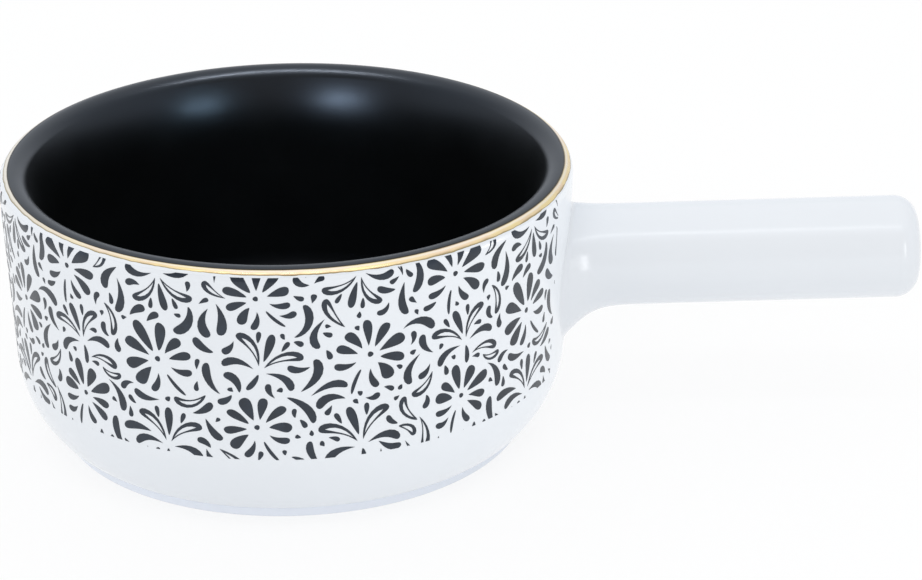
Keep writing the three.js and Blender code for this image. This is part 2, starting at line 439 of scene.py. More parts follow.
def black_glaze(colours):
    """Satin black glaze: wide, soft, bluish highlights on a deep black, with a fine grain."""
    material, tree, place = new_material("satin black glaze")
    grain = add_node(tree, "TexNoise", {"Vector": place, "Scale": per_metre(0.7), "Detail": 2.0})
    cloud = add_node(tree, "TexNoise", {"Vector": place, "Scale": per_metre(22), "Detail": 3.0})
    tone = add_node(tree, "ValToRGB", {"Fac": cloud}, stops=[
        (NOISE_LOW, shade(colours.black, 0.8)), (NOISE_HIGH, shade(colours.black, 1.2))])
    roughness = add_node(tree, "MapRange", {
        "Value": cloud, "From Min": NOISE_LOW, "From Max": NOISE_HIGH, "To Min": 0.29, "To Max": 0.33})
    skin = add_node(tree, "Bump", {"Strength": 0.35, "Distance": 0.03 * MM, "Height": grain})
    shader = add_node(tree, "BsdfPrincipled", {
        "Base Color": tone, "Roughness": roughness, "Normal": skin, "IOR": 1.5,
        "Specular Tint": (*colours.black_sheen, 1)})
    add_node(tree, "OutputMaterial", {"Surface": shader})
    return material


def gold_lustre(colours, low, high, reach):
    """Gold lustre laid on with a brush: yellow with warmer patches, narrower and paler away from the
    handle, with a lower edge that wavers and leaves some white glaze bare. A painted highlight runs along
    its upper part, a painted dark reflection along its lower edge, and its top edge is brown."""
    material, tree, place = new_material("fired gold lustre")
    at = add_node(tree, "SeparateXYZ", {"Vector": place})
    brush = add_node(tree, "TexNoise", {"Vector": place, "Scale": per_metre(6), "Detail": 3.0})
    cloud = add_node(tree, "TexNoise", {"Vector": place, "Scale": per_metre(16), "Detail": 2.0})
    sway = add_node(tree, "MapRange", {
        "Value": brush, "From Min": NOISE_LOW, "From Max": NOISE_HIGH, "To Min": 0.0, "To Max": GOLD_SWAY})
    narrow = add_node(tree, "MapRange", {
        "Value": at.outputs["X"], "From Min": -reach, "From Max": GOLD_FULL * reach,
        "To Min": low + GOLD_BARE, "To Max": low})
    near, far = (
        add_node(tree, "MapRange", {
            "Value": at.outputs["X"], "From Min": start * reach, "From Max": end * reach},
            interpolation_type="SMOOTHSTEP")
        for start, end in LIP_SIDES)
    sides = add_node(tree, "Math", {0: near, 1: far}, operation="MAXIMUM")
    top = add_node(tree, "Math", {0: sides, 1: LIP_LIFT, 2: high}, operation="MULTIPLY_ADD")
    wavy = add_node(tree, "Math", {0: narrow, 1: sway}, operation="ADD")
    edge = add_node(tree, "Math", {0: near, 1: GOLD_LIFT, 2: wavy}, operation="MULTIPLY_ADD")
    across = add_node(tree, "MapRange", {"Value": at.outputs["Z"], "From Min": edge, "From Max": top})
    patches = add_node(tree, "ValToRGB", {"Fac": cloud}, stops=[
        (PATCH_LOW, colours.gold), (PATCH_HIGH, colours.gold_warm)])
    far_side = add_node(tree, "MapRange", {
        "Value": at.outputs["X"], "From Min": GOLD_PALING * reach, "From Max": GOLD_PALEST * reach})
    # Painted highlight: a pale line in the upper part of the gold
    painted_highlight = add_node(tree, "ValToRGB", {"Fac": across}, stops=[
        (GOLD_HIGHLIGHT_LOW, (0, 0, 0)), (GOLD_HIGHLIGHT_HIGH, (0, 0, 0)), (GOLD_HIGHLIGHT, (GOLD_HIGHLIGHT_SHARE,) * 3)])
    pale = add_node(tree, "Math", {0: far_side, 1: painted_highlight}, operation="MAXIMUM")
    body = add_node(tree, "Mix", {0: pale, 6: patches, 7: (*colours.gold_pale_and_highlight, 1)}, data_type="RGBA")
    # Painted dark reflection along the gold's lower edge: its top lies higher away from the handle and in
    # the warm patches
    dark_reflection_by_side = add_node(tree, "MapRange", {
        "Value": far_side, "To Min": GOLD_DARK_REFLECTION_NEAR, "To Max": GOLD_DARK_REFLECTION_FAR})
    dark_reflection_top = add_node(tree, "MapRange", {
        "Value": cloud, "From Min": PATCH_LOW, "From Max": PATCH_HIGH,
        "To Min": dark_reflection_by_side, "To Max": GOLD_DARK_REFLECTION_PATCH})
    lower = add_node(tree, "MapRange", {"Value": across, "From Min": GOLD_DARK_REFLECTION_START, "From Max": dark_reflection_top})
    bottom = add_node(tree, "Mix", {0: lower, 6: (*colours.gold_dark_reflection, 1), 7: body}, data_type="RGBA")
    upper = add_node(tree, "MapRange", {
        "Value": across, "From Min": GOLD_DARK[0], "From Max": GOLD_DARK[1]})
    tone = add_node(tree, "Mix", {0: upper, 6: bottom, 7: (*colours.gold_edge, 1)}, data_type="RGBA")
    metal = add_node(tree, "MapRange", {
        "Value": across, "From Min": GOLD_START[0], "From Max": GOLD_START[1]})
    finish = add_node(tree, "Mix", {0: metal, 6: (*colours.white, 1), 7: tone}, data_type="RGBA")
    roughness = add_node(tree, "MapRange", {
        "Value": brush, "From Min": NOISE_LOW, "From Max": NOISE_HIGH, "To Min": 0.24, "To Max": 0.34})
    shader = add_node(tree, "BsdfPrincipled", {
        "Base Color": finish, "Roughness": roughness, "Metallic": metal})
    add_node(tree, "OutputMaterial", {"Surface": shader})
    return material


def transfer_ink(colours):
    """Screen printed transfer fired into the glaze: slate blue, a little uneven, softly glossy."""
    material, tree, place = new_material("fired transfer ink")
    cloud = add_node(tree, "TexNoise", {
        "Vector": place, "Scale": per_metre(5), "Detail": 4.0, "Roughness": 0.65})
    tone = add_node(tree, "ValToRGB", {"Fac": cloud}, stops=[
        (0.3, shade(colours.ink, 0.8)), (0.72, shade(colours.ink, 1.35))])
    shader = add_node(tree, "BsdfPrincipled", {"Base Color": tone, "Roughness": 0.24, "IOR": 1.5})
    add_node(tree, "OutputMaterial", {"Surface": shader})
    return material


def bare_clay(colours):
    """Ground stoneware without glaze: warm grey, dry, with fine grit and the rings of the grinding."""
    material, tree, place = new_material("ground stoneware clay")
    grit = add_node(tree, "TexNoise", {
        "Vector": place, "Scale": per_metre(1.4), "Detail": 5.0, "Roughness": 0.7})
    tone = add_node(tree, "ValToRGB", {"Fac": grit}, stops=[
        (0.32, shade(colours.clay, 0.72)), (0.6, colours.clay)])
    rings = add_node(tree, "TexWave", {
        "Vector": place, "Scale": per_metre(9), "Distortion": 2.0, "Detail": 2.0},
        wave_type="RINGS", rings_direction="Z")
    ground = add_node(tree, "Bump", {
        "Strength": 0.3, "Distance": 0.1 * MM, "Height": rings.outputs["Fac"]})
    skin = add_node(tree, "Bump", {
        "Strength": 0.4, "Distance": 0.08 * MM, "Height": grit, "Normal": ground})
    shader = add_node(tree, "BsdfPrincipled", {"Base Color": tone, "Roughness": 0.88, "Normal": skin})
    add_node(tree, "OutputMaterial", {"Surface": shader})
    return material


# Handle and its root

# How the root's swelling dies away, and how far out the handle bends to the wall, in reaches of the flare
FLARE_POWER = 1.5
FIT_REACHES = 3.5

# Rows along the handle: at the root, by the steam hole in radii of it, and shares of the shaft beyond
ROOT_ROWS = 26
ROOT_ROWS_PER_REACH = 8
VENT_ROWS = (-2.0, -1.5, -1.0, -0.5, 0.0, 0.5, 1.0, 1.5, 2.0)
SHAFT_ROWS = (0.4, 0.55, 0.7, 0.85)

# The patch that is opened for the steam hole: radii along the handle, columns to either side
VENT_ALONG = 1.1
VENT_ASIDE = 2.2


def root_shape(shape, lines):
    """Swells the root of a straight handle, fits it to the wall, tilts it and puts it in place."""
    s = lines.sizes
    middle = (s.flare_under + s.flare_over) / 2
    lean = (s.flare_under - s.flare_over) / 2
    fit_end = FIT_REACHES * s.flare_reach
    for vertex in shape.verts:
        from_wall, y, z = vertex.co
        radius = math.hypot(y, z)
        if radius > 0:
            dying = math.exp(-(max(from_wall, 0) / s.flare_reach) ** FLARE_POWER)
            grown = 1 + (middle - lean * z / radius) * dying / radius
            y, z = y * grown, z * grown
        height = lines.handle_height + z * math.cos(s.handle_tilt)
        wall = math.sqrt(lines.wall_radius(height) ** 2 - y ** 2)
        fitted = (wall - lines.handle_start + z * math.sin(s.handle_tilt)) / math.cos(s.handle_tilt)
        vertex.co = (from_wall + fitted * smooth_rise(from_wall, fit_end, 0), y, z)
    tilt = Matrix.Rotation(-s.handle_tilt, 4, "Y")
    place = Matrix.Translation((lines.handle_start, 0, lines.handle_height))
    bmesh.ops.transform(shape, matrix=place @ tilt, verts=shape.verts)
    bmesh.ops.recalc_face_normals(shape, faces=shape.faces)


def handle_profile(s):
    """Profile of the hollow handle, from the middle of its hollow round the root to its crowned end."""
    corner = s.handle_radius - s.handle_end
    crown_centre = s.handle_length - s.handle_crown
    corner_place = crown_centre + math.sqrt((s.handle_crown - s.handle_end) ** 2 - corner ** 2)
    corner_turn = math.atan2(corner_place - crown_centre, corner)
    root = [s.flare_reach * i / ROOT_ROWS_PER_REACH for i in range(ROOT_ROWS)]
    vent = [s.vent_place + s.vent_radius * row for row in VENT_ROWS]
    stations = [-ROOT_BURIED, *root, *vent, *(corner_place * share for share in SHAFT_ROWS)]
    hollow = s.handle_radius - s.handle_wall
    hollow_round = hollow / 3
    hollow_end = s.handle_length - s.handle_wall - hollow_round
    inner = [(0, hollow_end + hollow_round)]
    inner += arc((hollow - hollow_round, hollow_end), hollow_round, QUARTER, 0)
    inner += [(hollow, place) for place in reversed(stations)]
    outer = [(s.handle_radius, place) for place in stations]
    outer += arc((corner, corner_place), s.handle_end, 0, corner_turn)
    outer += arc((0, crown_centre), s.handle_crown, corner_turn, QUARTER)[1:]
    return inner + outer


def cut_vent(shape, sizes):
    """Opens the steam hole through the underside of the straight handle."""
    reach = VENT_ALONG * sizes.vent_radius
    spread = VENT_ASIDE * FULL_TURN / HANDLE_STEPS
    patch = []
    for face in shape.faces:
        middle = face.calc_center_median()
        below = math.atan2(abs(middle.y), -middle.z)
        if abs(middle.x - sizes.vent_place) < reach and below < spread:
            patch.append(face)
    bmesh.ops.delete(shape, geom=patch, context="FACES")
    rim = [e for e in shape.edges if e.is_boundary]
    for vertex in {v for e in rim for v in e.verts}:
        along, across = vertex.co.x - sizes.vent_place, vertex.co.y
        radius = math.hypot(across, vertex.co.z)
        onto = sizes.vent_radius / math.hypot(along, across)
        across *= onto
        vertex.co = (sizes.vent_place + along * onto, across, -math.sqrt(radius ** 2 - across ** 2))
    bmesh.ops.bridge_loops(shape, edges=rim)


# Printed band: the drawing, flat and in millimetres

# Flowers of one repeat: shares of its width and height, the way they face in degrees, how far they reach
DAISIES = (
    (0.08, 0.17, 112, 14.2), (0.35, 0.54, 58, 15.0), (0.09, 0.88, 126, 13.4),
    (0.60, 0.19, 66, 13.4), (0.84, 0.50, 121, 15.0), (0.575, 0.88, 74, 14.2))
PALMETTES = (
    (0.33, 0.06, 104, 15.0), (0.09, 0.50, 68, 14.0), (0.33, 1.00, 252, 12.5),
    (0.85, 0.04, 84, 14.0), (0.61, 0.50, 108, 13.4), (0.85, 0.98, 277, 13.0))

# Petals of a daisy: how many, how far they fan out, how they shorten aside and vary, where they start
PETALS = 7
PETAL_SPREAD = 1.72
PETAL_FALL = 0.1
PETAL_VARY = (0.88, 1.08)
PETAL_START = 0.27

# Leaves between the flowers: length, width, tries
LEAVES = (
    (12, 3.0, 800), (9.5, 2.8, 1400), (7.5, 2.6, 2000), (5.5, 2.2, 2600), (3.6, 1.8, 2600),
    (2.0, 1.6, 1600))

# Room kept round a leaf, how leaves vary, and how far past the band's edges they start
LEAF_GAP = 1.0
LEAF_VARY = (0.9, 1.15)
LEAF_BEND = (0.7, 1.9)
LEAF_HOOKS = (1, 1.6, 2.2)
LEAF_SWELLS = (0.6, 0.8, 1.0)
LEAF_SKEW = 0.2
PAST_EDGE = 4

# Leaves shorter than this bend less, and some of those longer than the next have a white slit
STRAIGHT_LEAF, STRAIGHT_SHARE = 5, 0.4
SLIT_LEAF, SLIT_CHANCE = 7, 0.3
SLIT_WIDTH = 0.45
SLIT_REACH = 0.3

# How fine the strokes are, how closely the band is cut to follow the lip, and what counts as one point
SPINE_STEPS = 48
STROKE_STEPS = 12
CUT_STEP = 0.7 * MM
PRINT_MERGE = 0.004 * MM


def stroke(base, heading, length, width, bend=0.0, hook=1.0, swell=0.8, blunt=4.0, skew=0.0, slit=0.0):
    """A brush stroke that grows from a point, bends and ends round; a slit leaves its middle white.

    Each row holds a place on its spine, the way across, and the reach to its left, right and slit."""
    fine = np.linspace(0, 1, SPINE_STEPS + 1)
    turn = heading + bend * ((fine[1:] + fine[:-1]) / 2) ** hook
    xs = base[0] + np.concatenate(([0], np.cumsum(np.cos(turn)))) * length / SPINE_STEPS
    ys = base[1] + np.concatenate(([0], np.cumsum(np.sin(turn)))) * length / SPINE_STEPS
    grow = fine ** swell * np.sqrt(1 - fine ** blunt)
    share = 0.5 - 0.5 * np.cos(np.linspace(0, math.pi, STROKE_STEPS + 1))
    half = 0.5 * width * share ** swell * np.sqrt(np.maximum(0, 1 - share ** blunt)) / grow.max()
    facing = heading + bend * share ** hook
    opening = slit * half * np.sqrt(np.maximum(0, 1 - ((share - 0.5) / SLIT_REACH) ** 2))
    return np.column_stack((
        np.interp(share, fine, xs), np.interp(share, fine, ys), -np.sin(facing), np.cos(facing),
        half * (1 + skew), half * (1 - skew), opening))


class PrintRepeat:
    """One repeat of the drawing, with room kept round every stroke; its left and right edges meet."""

    def __init__(self, width, height, seed):
        self.width, self.height = width, height
        self.random = random.Random(seed)
        self.strokes = []
        self.taken = np.empty((0, 3))

    def discs(self, made):
        """Discs that cover a stroke."""
        x, y, across_x, across_y, left, right, _ = made.T
        aside = (left - right) / 2
        return np.column_stack((x + across_x * aside, y + across_y * aside, (left + right) / 2))

    def is_free(self, made):
        """Whether a stroke keeps clear of all others."""
        discs = self.discs(made)
        dx = discs[:, None, 0] - self.taken[None, :, 0]
        dx -= self.width * np.round(dx / self.width)
        dy = discs[:, None, 1] - self.taken[None, :, 1]
        room = discs[:, None, 2] + self.taken[None, :, 2] + LEAF_GAP
        return bool(np.all(dx * dx + dy * dy > room * room))

    def put(self, made):
        """Keeps a stroke that is drawn."""
        self.strokes.append(made)
        self.taken = np.vstack((self.taken, self.discs(made)))

    def part(self, flower, angle, start, length, width, turn=0.0, **kinds):
        """Adds a stroke of a flower. Its angle counts from the flower's axis, and where it starts, its
        length and its width are in reaches of the flower; turn is how far it then points aside."""
        centre, axis, reach = flower
        base = from_centre(centre, axis + angle, start * reach)
        self.put(stroke(base, axis + angle + turn, length * reach, width * reach, **kinds))

    def daisy(self, *flower):
        """A flower of seven petals, with two leaves and a stem below."""
        vary = self.random.uniform
        for i in range(PETALS):
            aside = PETAL_SPREAD * (2 * i / (PETALS - 1) - 1)
            length = (1 - PETAL_FALL * abs(aside)) * vary(*PETAL_VARY) - PETAL_START
            self.part(
                flower, aside, PETAL_START, length, vary(0.2, 0.3),
                bend=0.4 * aside * vary(0.2, 1.0), swell=vary(0.6, 0.9), skew=vary(-0.3, 0.3))
        self.part(flower, 0, 0, 0.13, 0.13, swell=0.5, blunt=2.5)
        for side in (-1, 1):
            self.part(
                flower, side * 2.45, 0.3, 0.5, 0.17, side * 0.2, bend=-side * 0.9, swell=0.9,
                skew=side * LEAF_SKEW)
        self.part(flower, math.pi, 0.34, 0.62, 0.085, bend=0.4, swell=0.35, blunt=3)

    def palmette(self, *flower):
        """A bud between two open leaves, two curling ones and two seeds, on a stem."""
        self.part(flower, 0, 0.25, 0.75, 0.21, bend=0.15, swell=0.7)
        for side in (-1, 1):
            self.part(
                flower, side * 0.6, 0.12, 1.0, 0.25, -side * 0.15, bend=side * 1.15, hook=1.3, swell=0.9,
                skew=-side * LEAF_SKEW, slit=SLIT_WIDTH)
            self.part(
                flower, side * 1.7, 0.16, 0.8, 0.2, -side * 0.35, bend=side * 1.5, hook=1.8, swell=1.0,
                skew=-side * LEAF_SKEW)
            self.part(flower, side * 0.42, 0.72, 0.3, 0.12, -side * 0.17, swell=0.6)
        self.part(flower, math.pi, 0.12, 0.5, 0.14, bend=-0.5, swell=0.5, blunt=3)

    def fill(self, length, width, tries):
        """Scatters curved leaves of a size wherever there is room."""
        vary, pick = self.random.uniform, self.random.choice
        for _ in range(tries):
            base = (vary(0, self.width), vary(-PAST_EDGE, self.height + PAST_EDGE))
            turn = pick((-1, 1))
            bend = turn * vary(*LEAF_BEND) * (1 if length > STRAIGHT_LEAF else STRAIGHT_SHARE)
            leaf = stroke(
                base, vary(0, FULL_TURN), length * vary(*LEAF_VARY), width * vary(*LEAF_VARY), bend=bend,
                hook=pick(LEAF_HOOKS), swell=pick(LEAF_SWELLS), skew=-LEAF_SKEW * turn,
                slit=SLIT_WIDTH if length > SLIT_LEAF and vary(0, 1) < SLIT_CHANCE else 0.0)
            if self.is_free(leaf):
                self.put(leaf)


def draw_repeat(width, height, seed):
    """The whole drawing of one repeat: daisies and palmettes in turn, with leaves and seeds between."""
    drawing = PrintRepeat(width, height, seed)
    for draw, flowers in ((drawing.daisy, DAISIES), (drawing.palmette, PALMETTES)):
        for across, up, axis, reach in flowers:
            draw((across * width, up * height), math.radians(axis), reach)
    for leaves in LEAVES:
        drawing.fill(*leaves)
    return drawing.strokes


def add_stroke(shape, made):
    """Lays one stroke flat, as a grid whose columns run along its sides, its middle or its slit."""
    columns = 3 if made[:, 6].any() else 2
    grid = bmesh.ops.create_grid(shape, x_segments=columns, y_segments=STROKE_STEPS, size=1)["verts"]
    if columns == 3:
        slit = {f for v in grid for f in v.link_faces if abs(f.calc_center_median().x) < 1 / 3}
        bmesh.ops.delete(shape, geom=list(slit), context="FACES_ONLY")
    for vertex in grid:
        x, y, across_x, across_y, left, right, opening = made[round((vertex.co.y + 1) / 2 * STROKE_STEPS)]
        asides = (left, opening, -opening, -right) if columns == 3 else (left, 0, -right)
        aside = asides[round((vertex.co.x + 1) / 2 * columns)]
        vertex.co = ((x + across_x * aside) * MM, (y + across_y * aside) * MM, 0)


def whole(shape):
    """Every vertex, edge and face of a shape."""
    return shape.verts[:] + shape.edges[:] + shape.faces[:]


def flat_print(width, height, settings):
    """The whole band before it goes round the bowl: the drawing, repeated and trimmed straight."""
    shape = bmesh.new()
    repeat = width / settings.repeats
    for made in draw_repeat(repeat / MM, height / MM, settings.seed):
        add_stroke(shape, made)
    bmesh.ops.remove_doubles(shape, verts=shape.verts, dist=PRINT_MERGE)
    drawing = whole(shape)
    for i in [-1, *range(1, settings.repeats + 1)]:
        copy = bmesh.ops.duplicate(shape, geom=drawing)["geom"]
        moved = [part for part in copy if isinstance(part, bmesh.types.BMVert)]
        bmesh.ops.translate(shape, vec=(i * repeat, 0, 0), verts=moved)
    for place, outwards in (((0, 0, 0), (-1, 0, 0)), ((width, 0, 0), (1, 0, 0)),
                            ((0, 0, 0), (0, -1, 0)), ((0, height, 0), (0, 1, 0))):
        bmesh.ops.bisect_plane(
            shape, geom=whole(shape), plane_co=place, plane_no=outwards, clear_outer=True)
    return shape


def printed_band(lines, settings):
    """The print on the bowl: every stroke a thin closed film on the glaze."""
    knee, wall, lip = lines.print_runs()
    radius = lines.handle_start
    width = radius * (FULL_TURN - 2 * lines.print_side)
    shape = flat_print(width, knee + wall + lip, settings)
    cuts = math.ceil(lip / CUT_STEP)
    for i in range(cuts):
        place = (0, knee + wall + lip * i / cuts, 0)
        bmesh.ops.bisect_plane(shape, geom=whole(shape), plane_co=place, plane_no=(0, 1, 0))
    for vertex in shape.verts:
        out, height = lines.print_point(vertex.co.y, FILM_RISE)
        angle = lines.print_side + vertex.co.x / radius
        vertex.co = (out * math.cos(angle), out * math.sin(angle), height)
    shape.normal_update()
    bmesh.ops.solidify(shape, geom=shape.faces[:], thickness=FILM)
    bmesh.ops.recalc_face_normals(shape, faces=shape.faces)
    return shape


# Stage

CAMERA_AIM = Vector((60.6, 0, 46.5)) * MM
CAMERA_DISTANCE = 1109.6 * MM
CAMERA_ELEVATION = math.radians(24.02)
CAMERA_ROLL = math.radians(-0.34)
CAMERA_LENS = 121.76

# Light from all round: its strength, how strong it is at the right and where it starts to fall off
SKY_LIGHT = 1.025
SKY_RIGHT = 0.86
SKY_TURN = 0.1

# Floor: how far it reaches, and how much of it glows where it is seen and where it lights the pot
FLOOR_REACH = 6.0
FLOOR_GLOW = 0.8
FLOOR_LIGHT = 0.26

# What shines back from gloss: white walls, a broad panel overhead, a dimmer room behind the camera
PANEL_GLOW = 1.2
PANEL_COLOUR = "#F2F7FF"
PANEL_TILT = math.radians(9.5)
PANEL_EDGE = (0.66, 0.74)
WALL_COLOUR = "#F0F6FF"
ROOM_COLOUR = "#AEA7A6"
ROOM_SPREAD = 0.45
ROOM_DEPTH = (-0.5, 0.1)

# Soft boxes: azimuth from the camera's side and elevation in degrees, distance, width and height in
# metres, power, colour and the pieces that it lights
OUTSIDE = (
    "bowl", "foot_disc", "side_handle", "luting_fillet", "gold_rim_line", "floral_print", "studio_floor")
SOFT_BOXES = (
    ("strip", 0, 67, 1.5, 1.4, 0.1, 1.5, "#FFFFFF", OUTSIDE),
    ("key", 37, 10, 1.5, 0.16, 0.8, 2.5, "#FFFFFF", ("side_handle", "luting_fillet")),
    ("side", 80, 4, 1.5, 0.5, 0.2, 2.8, "#FFFFFF", ("bowl",)),
    ("overhead", 0, 84, 1.5, 1.3, 0.1, 18.4, "#FFFFFF", ("lining",)),
    ("right glint", 41, 4, 1.5, 0.4, 0.36, 8.6, "#CCECFF", ("lining",)),
    ("left glint", -25, 4, 1.5, 0.4, 0.36, 14.0, "#DCEEFF", ("lining",)),
)

# Boxes that only show as highlights in gloss
GLOSS_ONLY = ("key",)


def white_rays(tree):
    """One where the camera, a reflection or a refraction looks, and zero for other rays."""
    rays = add_node(tree, "LightPath")
    shiny = add_node(tree, "Math", {
        0: rays.outputs["Is Glossy Ray"], 1: rays.outputs["Is Transmission Ray"]}, operation="MAXIMUM")
    return add_node(tree, "Math", {0: rays.outputs["Is Camera Ray"], 1: shiny}, operation="MAXIMUM")


def studio_world():
    """A soft light from all round, a little dimmer from the right; gloss shows the walls, the panel and
    the room instead."""
    world = bpy.data.worlds.new("white studio")
    world.use_nodes = True
    tree = world.node_tree
    tree.nodes.clear()
    place = add_node(tree, "TexCoord").outputs["Generated"]
    side = add_node(tree, "SeparateXYZ", {"Vector": place})
    soft = add_node(tree, "MapRange", {
        "Value": side.outputs["X"], "From Min": SKY_TURN, "From Max": 1.0,
        "To Min": SKY_LIGHT, "To Max": SKY_RIGHT})
    aside = add_node(tree, "Math", {0: side.outputs["X"]}, operation="ABSOLUTE")
    far = add_node(tree, "Math", {
        0: aside, 1: ROOM_SPREAD, 2: side.outputs["Y"]}, operation="MULTIPLY_ADD")
    depth = add_node(tree, "MapRange", {
        "Value": far, "From Min": ROOM_DEPTH[0], "From Max": ROOM_DEPTH[1]},
        interpolation_type="SMOOTHSTEP")
    walls = add_node(tree, "ValToRGB", {"Fac": depth}, stops=[
        (0.0, linear(ROOM_COLOUR)), (1.0, linear(WALL_COLOUR))])
    facing = add_node(tree, "VectorMath", {
        0: place, 1: (0, math.sin(PANEL_TILT), math.cos(PANEL_TILT))}, operation="DOT_PRODUCT")
    inside = add_node(tree, "MapRange", {
        "Value": facing, "From Min": PANEL_EDGE[0], "From Max": PANEL_EDGE[1]},
        interpolation_type="SMOOTHSTEP")
    even = add_node(tree, "Background", {"Color": (1, 1, 1, 1), "Strength": soft})
    seen = add_node(tree, "Background", {"Color": (1, 1, 1, 1), "Strength": 1.0})
    round_about = add_node(tree, "Background", {"Color": walls, "Strength": 1.0})
    panel = add_node(tree, "Background", {"Color": (*linear(PANEL_COLOUR), 1), "Strength": PANEL_GLOW})
    shone = add_node(tree, "MixShader", {0: inside, 1: round_about, 2: panel})
    rays = add_node(tree, "LightPath")
    plain = add_node(tree, "MixShader", {0: white_rays(tree), 1: even, 2: seen})
    sky = add_node(tree, "MixShader", {0: rays.outputs["Is Glossy Ray"], 1: plain, 2: shone})
    add_node(tree, "OutputWorld", {"Surface": sky})
    bpy.context.scene.world = world


def studio_paper(colours):
    """Matt white paper that glows enough to look white and still shows the pot's shadow."""
    material, tree, _ = new_material("white studio paper")
    matt = add_node(tree, "BsdfDiffuse", {"Color": (*colours.floor, 1)})
    glow = add_node(tree, "Emission", {"Color": (1, 1, 1, 1), "Strength": 1.0})
    share = add_node(tree, "MapRange", {
        "Value": white_rays(tree), "To Min": FLOOR_LIGHT, "To Max": FLOOR_GLOW})
    paper = add_node(tree, "MixShader", {0: share, 1: matt, 2: glow})
    below = add_node(tree, "NewGeometry").outputs["Backfacing"]
    clear = add_node(tree, "BsdfTransparent")
    seen = add_node(tree, "MixShader", {0: below, 1: paper, 2: clear})
    add_node(tree, "OutputMaterial", {"Surface": seen})
    return material


def add_floor(colours):
    """The floor that the pot stands on."""
    shape = bmesh.new()
    bmesh.ops.create_grid(shape, x_segments=1, y_segments=1, size=FLOOR_REACH)
    floor = add_mesh("studio_floor", shape, [studio_paper(colours)])


def aimed(azimuth, elevation, distance, roll=0.0):
    """A place round the pot that looks at it; azimuth 0 is the camera's side."""
    turn = Matrix.Rotation(azimuth, 4, "Z")
    rise = Matrix.Rotation(QUARTER - elevation, 4, "X")
    twist = Matrix.Rotation(roll, 4, "Z")
    return Matrix.Translation(CAMERA_AIM) @ turn @ rise @ twist @ Matrix.Translation((0, 0, distance))


def add_soft_box(name, azimuth, elevation, distance, width, height, power, colour, only):
    """A soft box that faces the pot and lights only some pieces of it."""
    lamp = bpy.data.lights.new(name, "AREA")
    lamp.shape = "RECTANGLE"
    lamp.size, lamp.size_y = width, height
    lamp.energy = power
    lamp.color = linear(colour)
    box = add_object(name, lamp)
    box.matrix_world = aimed(math.radians(azimuth), math.radians(elevation), distance)
    box.visible_diffuse = name not in GLOSS_ONLY
    lit = bpy.data.collections.new(name)
    for piece in only:
        lit.objects.link(bpy.data.objects[piece])
    box.light_linking.receiver_collection = lit


def add_camera():
    """The camera at the photograph's place."""
    data = bpy.data.cameras.new("camera")
    data.lens = CAMERA_LENS
    camera = add_object("camera", data)
    camera.matrix_world = aimed(0, CAMERA_ELEVATION, CAMERA_DISTANCE, CAMERA_ROLL)
    bpy.context.scene.camera = camera


# Operators

class POT_OT_bowl(bpy.types.Operator):
    """Turns the white bowl"""

    bl_idname = "pot.bowl"
    bl_label = "Bowl"

    def execute(self, context):
        sizes = context.scene.pot_sizes
        lines = BowlLines(sizes)
        outside = lines.outside(sizes.foot_height, lines.gold_end)
        under_coats = lines.inside(sizes.coat + COAT_GAP, lines.gold_end)
        profile = [(0, sizes.foot_height), *outside, *under_coats]
        shape = turned(profile, (0, 0, 1), BOWL_STEPS)
        round_ring(shape, outside[0][0], sizes.foot_height, sizes.belly_edge)
        finish = white_glaze(context.scene.pot_colours.white)
        add_piece("bowl", shape, [finish], "bowl_body")
        return {"FINISHED"}


class POT_OT_foot(bpy.types.Operator):
    """Turns the low foot, glazed outside and ground bare underneath"""

    bl_idname = "pot.foot"
    bl_label = "Foot"

    def execute(self, context):
        s, colours = context.scene.pot_sizes, context.scene.pot_colours
        centre = (s.foot_radius + s.foot_fillet, s.foot_height - s.foot_fillet)
        fillet = arc(centre, s.foot_fillet, math.pi, QUARTER)
        profile = [(0, 0), (s.foot_radius, 0), *fillet, (0, s.foot_height)]
        shape = turned(profile, (0, 0, 1), BOWL_STEPS)
        round_ring(shape, s.foot_radius, 0, s.foot_edge)
        for face in shape.faces:
            face.material_index = 1 if face.calc_center_median().z < GROUND_SHARE * s.foot_edge else 0
        # The foot's glaze is painted lighter and bluer to make up for the shade under the belly
        finishes = [white_glaze(colours.foot_lightened_white, "white glaze painted lighter on the foot"), bare_clay(colours)]
        add_piece("foot_disc", shape, finishes, "foot")
        return {"FINISHED"}


class POT_OT_handle(bpy.types.Operator):
    """Makes the hollow handle with its flared root and steam hole"""

    bl_idname = "pot.handle"
    bl_label = "Handle"

    def execute(self, context):
        sizes = context.scene.pot_sizes
        shape = turned(handle_profile(sizes), (1, 0, 0), HANDLE_STEPS)
        cut_vent(shape, sizes)
        root_shape(shape, BowlLines(sizes))
        finish = white_glaze(context.scene.pot_colours.white, "white stoneware glaze on the handle")
        add_piece("side_handle", shape, [finish], "handle")
        return {"FINISHED"}


class POT_OT_luting(bpy.types.Operator):
    """Runs the fillet of slip round the handle's root"""

    bl_idname = "pot.luting"
    bl_label = "Luting fillet"

    def execute(self, context):
        sizes = context.scene.pot_sizes
        radius, fillet = sizes.handle_radius, sizes.luting
        hollow = arc((radius + fillet, fillet), fillet, math.pi, math.pi + QUARTER)
        profile = [*hollow, (radius + fillet, -ROOT_BURIED), (radius - ROOT_BURIED, -ROOT_BURIED),
                   (radius - ROOT_BURIED, fillet)]
        shape = turned(profile, (1, 0, 0), HANDLE_STEPS, closed=True)
        root_shape(shape, BowlLines(sizes))
        finish = white_glaze(context.scene.pot_colours.white, "white glaze over slip")
        add_piece("luting_fillet", shape, [finish], "luting_seam")
        return {"FINISHED"}


